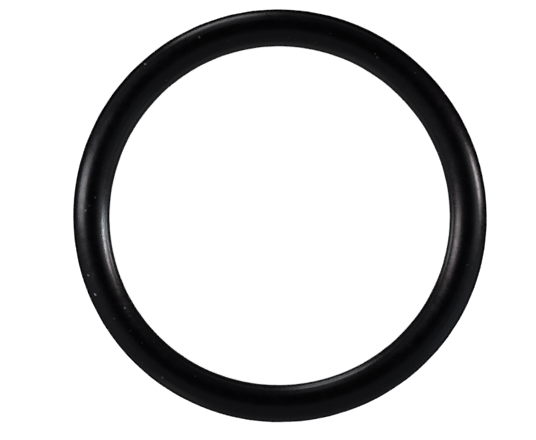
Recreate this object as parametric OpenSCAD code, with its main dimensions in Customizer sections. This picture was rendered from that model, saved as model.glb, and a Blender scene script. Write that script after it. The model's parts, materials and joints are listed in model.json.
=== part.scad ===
// Moulded rubber o-ring of round section, lying flat.
// The origin is the ring's centre, on its axis and in its mid-plane. +Z is the axis.
// It is one piece: a round section swept once round the axis, with the fine ridge
// that the two halves of the mould leave along the inside and the outside.

/* [Ring] */
// Inside diameter, across the hole and without the parting ridge
inner_d = 32.92; // [12:0.01:90]
// Diameter of the round section
section_d = 3.53; // [2:0.01:8]

/* [Parting ridge] */
// How far the trimmed ridge stands out of the section
ridge_h = 0.04; // [0.02:0.01:0.12]
// Width of the ridge's flat crest, along the ring's axis
ridge_w = 0.16; // [0.08:0.02:0.4]
// Slope of the ridge's flanks, away from the mould's parting plane
ridge_flank = 40; // [15:5:45]

/* [Hidden] */

rubber_black = [0.05, 0.05, 0.055];

section_r = section_d / 2;
centreline_r = inner_d / 2 + section_r;

// The flanks run on into the section as far as half its radius, where they are well covered
ridge_root = section_r / 2;

// Steps that draw the curves: once round the ring, and once round its section
ring_steps = 240;
section_steps = 96;

// Both ridges in one outline that crosses the section, in its own frame:
// +X points away from the ring's axis, +Y along it
module ridges_outline() {
    crest = section_r + ridge_h;
    crest_half_w = ridge_w / 2;
    root_half_w = crest_half_w + (crest - ridge_root) * tan(ridge_flank);
    polygon([
        [crest, -crest_half_w],
        [crest, crest_half_w],
        [ridge_root, root_half_w],
        [-ridge_root, root_half_w],
        [-crest, crest_half_w],
        [-crest, -crest_half_w],
        [-ridge_root, -root_half_w],
        [ridge_root, -root_half_w]
    ]);
}

module section() {
    circle(r = section_r, $fn = section_steps);
    ridges_outline();
}

module o_ring() {
    color(rubber_black)
        rotate_extrude($fn = ring_steps)
            translate([centreline_r, 0])
                section();
}

o_ring();
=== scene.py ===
"""Looks of a black rubber o-ring that lies on a pale floor, seen from straight above."""

import json
import math
import random

import bpy
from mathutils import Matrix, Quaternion, Vector, noise


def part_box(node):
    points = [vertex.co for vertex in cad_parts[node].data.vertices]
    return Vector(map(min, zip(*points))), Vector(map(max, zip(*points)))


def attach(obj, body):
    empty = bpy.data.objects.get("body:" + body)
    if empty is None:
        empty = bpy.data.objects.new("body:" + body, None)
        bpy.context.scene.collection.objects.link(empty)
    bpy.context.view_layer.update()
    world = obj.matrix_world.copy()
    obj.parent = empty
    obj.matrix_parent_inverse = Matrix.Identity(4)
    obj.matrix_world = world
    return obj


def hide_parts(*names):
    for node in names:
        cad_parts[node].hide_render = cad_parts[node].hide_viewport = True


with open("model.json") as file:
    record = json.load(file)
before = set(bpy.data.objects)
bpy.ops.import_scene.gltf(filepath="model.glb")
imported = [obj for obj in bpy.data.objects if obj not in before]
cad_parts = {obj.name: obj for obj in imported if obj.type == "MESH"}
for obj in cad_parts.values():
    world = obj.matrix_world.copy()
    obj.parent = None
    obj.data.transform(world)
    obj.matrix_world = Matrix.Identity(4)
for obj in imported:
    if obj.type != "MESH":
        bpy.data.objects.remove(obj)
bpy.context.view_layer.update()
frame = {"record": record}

MM = 0.001

# Sizes of the moulded ring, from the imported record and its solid
MOUNTS = {mount["name"]: mount for mount in frame["record"]["mounts"]}
CREST_IN = MOUNTS["shaft_seat"]["dims"]["r_mm"] * MM
CREST_OUT = MOUNTS["gland_seat"]["dims"]["r_mm"] * MM
RIDGE_W = MOUNTS["shaft_seat"]["dims"]["length_mm"] * MM
RING_R = (CREST_IN + CREST_OUT) / 2
SECTION_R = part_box("o_ring")[1].z
RIDGE_H = CREST_OUT - RING_R - SECTION_R
# Slope of the ridge's flanks, the same as in part.scad
RIDGE_FLANK = math.radians(40)

# Where the ridge was trimmed most, this share of its full height is left
RIDGE_TRIM = 0.55
# Length of the trimmed ridge's unevenness, round the ring
RIDGE_WAVE = 2.2 * MM
# A noise gives the unevenness. It is read at another level for each ridge, and strengthened so that
# the deepest trimming is reached in places.
TRIM_LEVEL_OUT = 2.0
TRIM_LEVEL_IN = 9.0
TRIM_GAIN = 2.2

# The soft ring isn't quite true. Each wave has how many times it goes round, its height, and the
# angle in degrees of one of its crests: first for the middle line, then for half the width of the band.
# They are rounded results of a program that measured the ring's edges in the photograph.
LINE_WAVES = ((2, 0.028 * MM, -12), (3, 0.034 * MM, -15))
WIDTH_WAVES = ((1, 0.020 * MM, -8), (2, 0.030 * MM, -55))

# Steps of the ring's mesh: once round, and over each half of the section between the ridges
AROUND = 720
HALF_SECTION = 42
# Points across a ridge's crest, as shares of half its width
CREST_POINTS = (-1, -0.55, 0, 0.55, 1)
# The ring is unrolled into this many strips for its map, with a gap round each
MAP_STRIPS = 3
MAP_GAP = 0.006

# The camera looks straight down from far off. The photograph's frame is 536 pixels wide, and its
# centre is a little to the left of the ring's and below it.
VIEW_W = 51.92 * MM
CAMERA_HEIGHT = 400 * MM
AIM = Vector((-1.12 * MM, -0.39 * MM, 0))
SENSOR = 36
CLIP_START = 1 * MM

FLOOR_SIZE = 5
FLOOR_Z = -SECTION_R

SEED = 7


# Small helpers for node trees


def add(tree, kind, inputs=(), **settings):
    """A new node. inputs gives a value or another node's output for each named or numbered input."""
    node = tree.nodes.new("ShaderNode" + kind)
    for name, value in settings.items():
        setattr(node, name, value)
    for key, value in dict(inputs).items():
        if isinstance(value, bpy.types.NodeSocket):
            tree.links.new(value, node.inputs[key])
        else:
            node.inputs[key].default_value = value
    return node


def node_tree(owner, output_kind):
    """An empty node tree for a material or a world, and its output node."""
    owner.use_nodes = True
    tree = owner.node_tree
    tree.nodes.clear()
    return tree, add(tree, output_kind)


def math_node(tree, operation, first, second):
    return add(tree, "Math", {0: first, 1: second}, operation=operation).outputs[0]


def ramp(tree, value, low, high, to_low=0.0, to_high=1.0):
    """value taken smoothly from the range low to high to the range to_low to to_high."""
    inputs = {"Value": value, 1: low, 2: high, 3: to_low, 4: to_high}
    return add(tree, "MapRange", inputs, interpolation_type="SMOOTHSTEP").outputs[0]


def blend_colours(tree, share, first, second):
    """The first colour where share is 0, the second where it is 1."""
    inputs = {0: share, "A": (*first, 1), "B": (*second, 1)}
    return add(tree, "Mix", inputs, data_type="RGBA").outputs["Result"]


def grain(tree, place, size, detail=2.0, roughness=0.5):
    """Noise from 0 to 1 whose patches are about size across, in metres."""
    inputs = {"Vector": place, "Scale": 1 / size, "Detail": detail, "Roughness": roughness}
    return add(tree, "TexNoise", inputs).outputs[0]


def relief(tree, height, distance, under=None):
    """Bumps whose height is this distance at most, on top of the relief under them."""
    inputs = {"Strength": 1.0, "Distance": distance, "Height": height}
    if under is not None:
        inputs["Normal"] = under
    return add(tree, "Bump", inputs).outputs[0]


# The ring


def ridge_foot():
    """Angle, seen from the section's centre, at which a flank of the ridge leaves the round section."""
    slope = math.tan(RIDGE_FLANK)
    reach = RIDGE_W / 2 + (SECTION_R + RIDGE_H) * slope
    steep = 1 + slope**2
    x = (reach * slope + math.sqrt(steep * SECTION_R**2 - reach**2)) / steep
    return math.atan2(reach - x * slope, x)


def section_points():
    """The section's points, anticlockwise from the outer ridge.

    Each has how far out and how far up it is from the section's centre, and the way that a ridge
    moves it: 1 for outwards, -1 for inwards, 0 where there is no ridge.
    """
    foot = ridge_foot()
    points = []
    for start, way in ((0, 1), (math.pi, -1)):
        for share in CREST_POINTS:
            points.append((way * SECTION_R, way * share * RIDGE_W / 2, way))
        for i in range(HALF_SECTION + 1):
            angle = start + foot + (math.pi - 2 * foot) * i / HALF_SECTION
            points.append((SECTION_R * math.cos(angle), SECTION_R * math.sin(angle), 0))
    return points


def ridge_height(turn, noise_level):
    """How far a ridge stands out at this angle round the ring. Trimming left it slightly uneven."""
    reach = RING_R / RIDGE_WAVE
    place = Vector((math.cos(turn) * reach, math.sin(turn) * reach, noise_level))
    trimmed = min(1, TRIM_GAIN * abs(noise.noise(place)))
    return RIDGE_H * (1 - (1 - RIDGE_TRIM) * trimmed)


def waves(turn, table):
    return sum(height * math.cos(times * (turn - math.radians(crest))) for times, height, crest in table)


def band(turn):
    """Radius of the section's centre at this angle round the ring, and how wide its half is."""
    return RING_R + waves(turn, LINE_WAVES), SECTION_R + waves(turn, WIDTH_WAVES)


def ring_mesh():
    """The ring as rows of quads, with a map that unrolls it into a few strips side by side."""
    section = section_points()
    count = len(section)
    verts = []
    for i in range(AROUND):
        turn = math.tau * i / AROUND
        middle, half = band(turn)
        heights = {1: ridge_height(turn, TRIM_LEVEL_OUT), -1: ridge_height(turn, TRIM_LEVEL_IN), 0: 0}
        for out, up, way in section:
            r = middle + out * half / SECTION_R + way * heights[way]
            verts.append((r * math.cos(turn), r * math.sin(turn), up))
    faces = []
    for i in range(AROUND):
        here, after = i * count, (i + 1) % AROUND * count
        for j in range(count):
            k = (j + 1) % count
            faces.append((here + j, after + j, after + k, here + k))
    mesh = bpy.data.meshes.new("ring")
    mesh.from_pydata(verts, [], faces)
    unroll(mesh, section)
    mesh.shade_smooth()
    return mesh


def unroll(mesh, section):
    """Lays each third of the ring out as a strip, along its length across the map."""
    count = len(section)
    span = [0.0]
    for (x0, z0, _), (x1, z1, _) in zip(section, section[1:] + section[:1]):
        span.append(span[-1] + math.hypot(x1 - x0, z1 - z0))
    # Corners of a quad: one step along the ring, one step over the section
    corners = ((0, 0), (1, 0), (1, 1), (0, 1))
    per_strip = AROUND // MAP_STRIPS
    height = 1 / MAP_STRIPS
    uv = mesh.uv_layers.new(name="OFBake").uv
    for i in range(AROUND):
        strip, step = divmod(i, per_strip)
        for j in range(count):
            first = len(corners) * (i * count + j)
            for corner, (onward, over) in enumerate(corners):
                u = MAP_GAP + (1 - 2 * MAP_GAP) * (step + onward) / per_strip
                v = MAP_GAP + (height - 2 * MAP_GAP) * span[j + over] / span[-1]
                uv[first + corner].vector = (u, strip * height + v)


# The rubber's skin


# Width of its unevenness at each scale, from the mould's fine grain up to the faint change of tint
FINE = 0.26 * MM
SCUFFS = 0.7 * MM
PATCHES = 1.3 * MM
FLOW = 3.5 * MM
BLOOM = 6 * MM
# Most of each noise lies between these two
NOISE_LOW = 0.3
NOISE_HIGH = 0.7

# Height of the relief at three of the scales
FLOW_RELIEF = 0.0085 * MM
SCUFF_RELIEF = 0.0032 * MM
FINE_RELIEF = 0.0013 * MM

# Roughness from patch to patch, and what the scuffs and the fine grain each add to it or take off
ROUGH_LOW = 0.225
ROUGH_HIGH = 0.275
ROUGH_GRAIN = 0.03

# The gloss and where it fades out, from 0 for a surface that faces the eye to 1 for one seen edge on
GLOSS = 0.5
FADE_START = 0.45
FADE_END = 0.78

RUBBER_TINTS = ((0.0048, 0.0031, 0.0043), (0.0042, 0.0033, 0.0040))


def rubber():
    """Black moulded rubber: satin, with a fine grain from the mould and a slightly uneven sheen."""
    material = bpy.data.materials.new("moulded_rubber")
    tree, output = node_tree(material, "OutputMaterial")
    place = add(tree, "TexCoord").outputs["Object"]
    fine = grain(tree, place, FINE, roughness=0.6)
    scuffs = grain(tree, place, SCUFFS)
    patches = grain(tree, place, PATCHES, detail=3.0)
    flow = grain(tree, place, FLOW, detail=1.0)
    bloom = grain(tree, place, BLOOM, detail=1.0)

    def spread(pattern, low, high):
        return ramp(tree, pattern, NOISE_LOW, NOISE_HIGH, low, high)

    # The sheen is uneven at three scales
    roughness = spread(patches, ROUGH_LOW, ROUGH_HIGH)
    for pattern in (scuffs, fine):
        roughness = math_node(tree, "ADD", roughness, spread(pattern, -ROUGH_GRAIN, ROUGH_GRAIN))
    normal = relief(tree, flow, FLOW_RELIEF)
    normal = relief(tree, scuffs, SCUFF_RELIEF, normal)
    normal = relief(tree, fine, FINE_RELIEF, normal)
    # The gloss fades out towards a grazing angle, further than on real rubber, so that low views of
    # the ring don't shine white
    facing = add(tree, "LayerWeight", {"Blend": 0.5}).outputs["Facing"]
    inputs = {
        "Base Color": blend_colours(tree, spread(bloom, 0.0, 1.0), *RUBBER_TINTS),
        "Roughness": roughness,
        "Specular IOR Level": ramp(tree, facing, FADE_START, FADE_END, GLOSS, 0.0),
        "Normal": normal,
    }
    shader = add(tree, "BsdfPrincipled", inputs)
    tree.links.new(shader.outputs[0], output.inputs[0])
    return material


def make_ring():
    ring = bpy.data.objects.new("moulded_ring", ring_mesh())
    bpy.context.scene.collection.objects.link(ring)
    ring.data.materials.append(rubber())
    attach(ring, "root")
    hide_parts("o_ring")


# Dust on the ring


# Specks that the photograph shows: angle round the ring, how far across the band it sits from
# the hole's edge (0) to the outer edge (1), size across in millimetres, and how pale it is.
# A program found the angles and the shares in the photograph. The rest was chosen.
SPECKS = [
    (203.1, 0.815, 0.24, 0.85),
    (197.3, 0.815, 0.20, 0.80),
    (131.5, 0.875, 0.21, 0.75),
    (210.7, 0.243, 0.22, 0.40),
    (178.4, 0.648, 0.19, 0.55),
    (114.2, 0.687, 0.21, 0.18),
    (234.1, 0.796, 0.19, 0.21),
    (174.3, 0.400, 0.15, 0.16),
    (211.8, 0.653, 0.19, 0.12),
    (58.3, 0.429, 0.23, 0.06),
    (59.5, 0.494, 0.16, 0.08),
    (176.9, 0.544, 0.17, 0.08),
    (129.9, 0.170, 0.18, 0.09),
    (217.5, 0.479, 0.19, 0.03),
    (345.4, 0.617, 0.17, 0.08),
    (87.2, 0.226, 0.20, 0.07),
    (134.1, 0.885, 0.12, 0.30),
    (213.7, 0.243, 0.16, 0.08),
    (78.3, 0.185, 0.20, 0.09),
    (226.9, 0.829, 0.12, 0.18),
    (46.6, 0.740, 0.16, 0.09),
    (242.3, 0.295, 0.16, 0.05),
    (225.1, 0.190, 0.12, 0.08),
    (27.4, 0.175, 0.17, 0.09),
    (74.3, 0.520, 0.13, 0.05),
    (106.3, 0.336, 0.15, 0.05),
    (222.7, 0.440, 0.15, 0.05),
]

# A speck's length, width and height vary between these shares of its size
SPECK_LONG = (1.0, 1.4)
SPECK_WIDE = (0.75, 1.0)
SPECK_TALL = (0.35, 0.5)
# A noise gives its lumps: how much they stand out, how close together they are, and how far off
# the place may be at which the noise is read
LUMP_HEIGHT = 0.35
LUMP_CLOSENESS = 1.3
NOISE_SPAN = 50

# Width of the mottling on a speck, the range of its noise over which the tint changes, and the two tints
DUST_GRAIN = 0.06 * MM
DUST_RANGE = (0.35, 0.65)
DUST_TINTS = ((0.75, 0.73, 0.69), (1.0, 1.0, 0.98))


def on_ring(turn, across):
    """The point of the upper surface at this angle and share of the band's width, and its normal."""
    middle, half = band(turn)
    out = 2 * across - 1
    up = math.sqrt(1 - out**2)
    around = Vector((math.cos(turn), math.sin(turn), 0))
    place = around * (middle + out * half) + Vector((0, 0, up * SECTION_R))
    return place, around * out + Vector((0, 0, up))


def speck(draw, place, normal, size, paleness):
    """One grain: a small lumpy pebble, with its lower half pressed into the surface."""
    bpy.ops.mesh.primitive_ico_sphere_add(subdivisions=2, radius=1)
    pebble = bpy.context.object
    mesh = pebble.data
    lie = normal.to_track_quat("Z", "Y")
    long, wide, tall = (draw.uniform(*shares) for shares in (SPECK_LONG, SPECK_WIDE, SPECK_TALL))
    twist = Quaternion((0, 0, 1), draw.uniform(0, math.tau))
    offset = Vector([draw.uniform(0, NOISE_SPAN) for _ in range(3)])
    for vertex in mesh.vertices:
        lump = 1 + LUMP_HEIGHT * noise.noise(vertex.co * LUMP_CLOSENESS + offset)
        x, y, z = vertex.co * lump
        flat = Vector((x * long, y * wide, 0))
        flat.rotate(twist)
        flat.z = z * tall
        vertex.co = place + lie @ (flat * size / 2)
    shades = mesh.attributes.new("paleness", "FLOAT", "POINT")
    shades.data.foreach_set("value", [paleness] * len(mesh.vertices))
    return pebble


def dust_material():
    material = bpy.data.materials.new("pale_dust")
    tree, output = node_tree(material, "OutputMaterial")
    place = add(tree, "TexCoord").outputs["Object"]
    mottling = ramp(tree, grain(tree, place, DUST_GRAIN), *DUST_RANGE)
    tint = blend_colours(tree, mottling, *DUST_TINTS)
    paleness = add(tree, "Attribute", attribute_name="paleness").outputs["Fac"]
    shade = add(tree, "VectorMath", {0: tint, "Scale": paleness}, operation="SCALE").outputs[0]
    inputs = {"Base Color": shade, "Roughness": 0.9, "Specular IOR Level": 0.2}
    shader = add(tree, "BsdfPrincipled", inputs)
    tree.links.new(shader.outputs[0], output.inputs[0])
    return material


def make_dust():
    draw = random.Random(SEED)
    grains = []
    for turn, across, size, paleness in SPECKS:
        place, normal = on_ring(math.radians(turn), across)
        grains.append(speck(draw, place, normal, size * MM, paleness))
    with bpy.context.temp_override(active_object=grains[0], selected_editable_objects=grains):
        bpy.ops.object.join()
    dust = grains[0]
    dust.name = "dust_specks"
    dust.data.materials.append(dust_material())
    dust.data.shade_smooth()
    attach(dust, "root")


# The floor


def make_floor():
    mesh = bpy.data.meshes.new("floor")
    half = FLOOR_SIZE / 2
    corners = [(-half, -half), (half, -half), (half, half), (-half, half)]
    mesh.from_pydata([(x, y, FLOOR_Z) for x, y in corners], [], [(0, 1, 2, 3)])
    floor = bpy.data.objects.new("floor", mesh)
    bpy.context.scene.collection.objects.link(floor)

    material = bpy.data.materials.new("pale_floor")
    tree, output = node_tree(material, "OutputMaterial")
    inputs = {
        "Base Color": (0.8, 0.8, 0.8, 1),
        "Roughness": 1.0,
        "Specular IOR Level": 0.0,
        "Emission Color": (1, 1, 1, 1),
        "Emission Strength": 0.55,
    }
    shader = add(tree, "BsdfPrincipled", inputs)
    tree.links.new(shader.outputs[0], output.inputs[0])
    mesh.materials.append(material)
    # The ring mirrors the dim studio round it and not the bright floor
    floor.visible_glossy = False
    floor.visible_diffuse = False
    floor.visible_shadow = False
    return floor


# The lamps


# The lamps are tuned to the photograph's highlights, and aren't a studio that could be built

WHITE = (1, 1, 1)

LAMP_DISTANCE = 320 * MM
# Each lamp well away from the ring: its azimuth and elevation, its width and height, all in degrees,
# its radiance and its colour
FAR_LAMPS = {
    "right_lamp": (10.8, 9.5, 10.5, 17, 16, (1.0, 0.88, 0.90)),
    "right_low_lamp": (11.5, -8, 12.5, 14, 1.7, (1.0, 0.88, 0.90)),
    "right_glow": (6, 23.5, 23, 38, 0.78, (0.84, 0.90, 1.0)),
    "right_top_glow": (3, 51, 18, 14, 0.16, (0.84, 0.90, 1.0)),
    "right_side_glow": (335, 2, 34, 60, 0.13, (0.80, 0.87, 1.0)),
    "left_upper_lamp": (173, 32, 13, 15.5, 5.2, (1.0, 0.88, 0.93)),
    "left_top_glow": (172, 47, 14, 18, 0.32, (1.0, 0.92, 0.94)),
    "left_lamp": (173, 16.5, 15.5, 17, 5.9, (0.89, 0.92, 1.0)),
    "left_glow": (175, 20, 90, 50, 0.07, (0.93, 0.95, 1.0)),
    "left_low_lamp": (173, 1, 15.5, 6, 6.4, (0.89, 0.92, 1.0)),
    "back_lamp": (108, -13.5, 23, 14, 2.8, (0.97, 0.97, 1.0)),
    "back_middle_lamp": (107, -1.5, 22, 7, 1.5, (0.97, 0.97, 1.0)),
    "back_upper_lamp": (104, 18, 14, 24, 0.30, (0.93, 0.95, 1.0)),
    "back_glow": (107, -13, 96, 26, 0.1, (0.93, 0.95, 1.0)),
    "front_glow": (240, -8, 14, 40, 0.13, WHITE),
}

# The lamps inside the hole stand this far from the ring's axis
HOLE_LAMP_R = 14 * MM
# Each of them: its azimuth and elevation, its width and height and the spread of its beam, all in
# degrees, its radiance and its colour
HOLE_LAMPS = {
    "hole_right_upper_lamp": (4.5, 10, 5.5, 11, 11, 66, (0.79, 0.94, 1.04)),
    "hole_right_lamp": (4, -5, 8, 12, 14, 18, (0.80, 0.94, 1.04)),
    "hole_right_low_lamp": (8.5, -24, 10, 12, 22, 9.2, (0.88, 0.94, 1.0)),
    "hole_left_upper_lamp": (173, 21, 9, 16, 28, 3.3, (1.0, 0.16, 0.10)),
    "hole_left_lamp": (171, -28, 15, 15, 26, 3.0, (1.0, 0.96, 0.98)),
    "hole_back_lamp": (107, -32, 20, 8, 26, 3.8, (0.88, 0.93, 1.0)),
}

# The lit floor in the hole shows faintly in its wall. Two discs of this width stand in for it: one
# lights the whole wall evenly, and the other faces the back, where the floor shows most.
HOLE_FLOOR_W = 31.5 * MM
HOLE_FLOOR_RADIANCE = 0.028
BACK_FLOOR_RADIANCE = 0.04
BACK_FLOOR_AZIMUTH = 80
BACK_FLOOR_ELEVATION = 50


def direction(azimuth, elevation):
    turn, lift = math.radians(azimuth), math.radians(elevation)
    return Vector((math.cos(turn) * math.cos(lift), math.sin(turn) * math.cos(lift), math.sin(lift)))


def seen_size(distance, degrees):
    """Size of what looks this many degrees wide from this distance."""
    return 2 * distance * math.tan(math.radians(degrees / 2))


def make_lamp(name, place, aim, width, height, radiance, colour, shape="RECTANGLE"):
    """A soft box at one point that faces another, which no camera sees."""
    lamp = bpy.data.lights.new(name, "AREA")
    lamp.shape = shape
    lamp.size = width
    lamp.size_y = height
    area = width * height * (math.pi / 4 if shape == "ELLIPSE" else 1)
    lamp.energy = radiance * math.pi * area
    lamp.color = colour
    box = bpy.data.objects.new(name, lamp)
    bpy.context.scene.collection.objects.link(box)
    box.location = place
    box.rotation_euler = (aim - place).to_track_quat("-Z", "Y").to_euler()
    box.visible_camera = False
    return box


def far_lamp(name, azimuth, elevation, wide, high, radiance, colour):
    """A lamp well away from the ring, which faces its centre."""
    place = direction(azimuth, elevation) * LAMP_DISTANCE
    width, height = seen_size(LAMP_DISTANCE, wide), seen_size(LAMP_DISTANCE, high)
    return make_lamp(name, place, Vector((0, 0, 0)), width, height, radiance, colour)


def hole_lamp(name, azimuth, elevation, wide, high, spread, radiance, colour):
    """A beam from inside the hole onto its far wall."""
    side = direction(azimuth, 0)
    wall = -side * CREST_IN
    rise = (HOLE_LAMP_R + CREST_IN) * math.tan(math.radians(elevation))
    place = side * HOLE_LAMP_R + Vector((0, 0, rise))
    reach = (place - wall).length
    width, height = seen_size(reach, wide), seen_size(reach, high)
    # A beam is brighter along its axis than a lamp of the same power that spreads its light all round
    half = math.radians(spread / 2)
    share = 1 - half / math.tan(half)
    lamp = make_lamp(name, place, wall, width, height, radiance * share, colour)
    lamp.data.spread = 2 * half


def hole_floor_lamp(name, facing, radiance):
    """A disc of light on the floor in the hole."""
    place = Vector((0, 0, FLOOR_Z))
    aim = place + facing
    make_lamp(name, place, aim, HOLE_FLOOR_W, HOLE_FLOOR_W, radiance, WHITE, shape="ELLIPSE")


def make_lamps(floor):
    for name, values in FAR_LAMPS.items():
        far_lamp(name, *values)
    for name, values in HOLE_LAMPS.items():
        hole_lamp(name, *values)
    hole_floor_lamp("hole_floor_lamp", Vector((0, 0, SECTION_R)), HOLE_FLOOR_RADIANCE)
    back_way = direction(BACK_FLOOR_AZIMUTH, BACK_FLOOR_ELEVATION)
    hole_floor_lamp("hole_floor_glow", back_way, BACK_FLOOR_RADIANCE)

    # This one lights the floor alone
    overhead = far_lamp("floor_lamp", azimuth=0, elevation=90, wide=66, high=66, radiance=2.7, colour=WHITE)
    lit = bpy.data.collections.new("lit_by_floor_lamp")
    lit.objects.link(floor)
    overhead.light_linking.receiver_collection = lit


# The studio and the camera


# The studio's level and tint at the back and at the front, which is brighter and less blue. Each
# changes over a range of how far a direction points to the front, from -1 to 1.
FRONT_WAY = Vector((-0.34, -0.94, 0))
LEVEL_RANGE = (-0.6, 0.3)
BACK_LEVEL = 0.05
FRONT_LEVEL = 0.128
TINT_RANGE = (0.2, 0.8)
BACK_TINT = (0.82, 0.93, 1.06)
FRONT_TINT = (0.89, 0.92, 1.01)

# The dark patch round the camera: the azimuth and the elevation of its middle, which leans to the
# back, how far from its middle it ends and is darkest, all in degrees, and the share of the level
# that is left there
PATCH_AZIMUTH = 90
PATCH_ELEVATION = 70
PATCH_END = 48
PATCH_CORE = 14
PATCH_SHARE = 0.09

# It is dark under the ring too, and more so at the back. The dark ends over this range of how far a
# direction points along this way, which is up and a little to the front.
RAISED_WAY = Vector((0, -0.30, 1))
RAISED_RANGE = (-0.66, -0.43)


def along(tree, outlook, way):
    """How far the direction looked in points along this way."""
    return add(tree, "VectorMath", {0: outlook, 1: way}, operation="DOT_PRODUCT").outputs["Value"]


def make_world():
    """A dim studio, darkest round the camera. The camera itself sees a pale backdrop."""
    world = bpy.data.worlds.new("studio")
    bpy.context.scene.world = world
    tree, output = node_tree(world, "OutputWorld")
    outlook = add(tree, "TexCoord").outputs["Generated"]

    frontness = along(tree, outlook, FRONT_WAY)
    level = ramp(tree, frontness, *LEVEL_RANGE, BACK_LEVEL, FRONT_LEVEL)
    tint = blend_colours(tree, ramp(tree, frontness, *TINT_RANGE), BACK_TINT, FRONT_TINT)
    to_patch = along(tree, outlook, direction(PATCH_AZIMUTH, PATCH_ELEVATION))
    patch_end, patch_core = (math.cos(math.radians(angle)) for angle in (PATCH_END, PATCH_CORE))
    open_way = ramp(tree, to_patch, patch_end, patch_core, 1.0, PATCH_SHARE)
    raised = ramp(tree, along(tree, outlook, RAISED_WAY), *RAISED_RANGE)
    strength = math_node(tree, "MULTIPLY", math_node(tree, "MULTIPLY", level, open_way), raised)
    studio = add(tree, "Background", {"Color": tint, "Strength": strength})
    backdrop = add(tree, "Background", {"Color": (1, 1, 1, 1), "Strength": 1.0})
    from_camera = add(tree, "LightPath").outputs["Is Camera Ray"]
    either = add(tree, "MixShader", {0: from_camera, 1: studio.outputs[0], 2: backdrop.outputs[0]})
    tree.links.new(either.outputs[0], output.inputs[0])


def make_camera():
    data = bpy.data.cameras.new("camera")
    data.sensor_width = SENSOR
    data.lens = SENSOR * CAMERA_HEIGHT / VIEW_W
    data.clip_start = CLIP_START
    camera = bpy.data.objects.new("camera", data)
    bpy.context.scene.collection.objects.link(camera)
    camera.location = AIM + Vector((0, 0, CAMERA_HEIGHT))
    bpy.context.scene.camera = camera


make_camera()
make_ring()
make_dust()
make_lamps(make_floor())
make_world()
bpy.context.scene.view_settings.view_transform = "Standard"
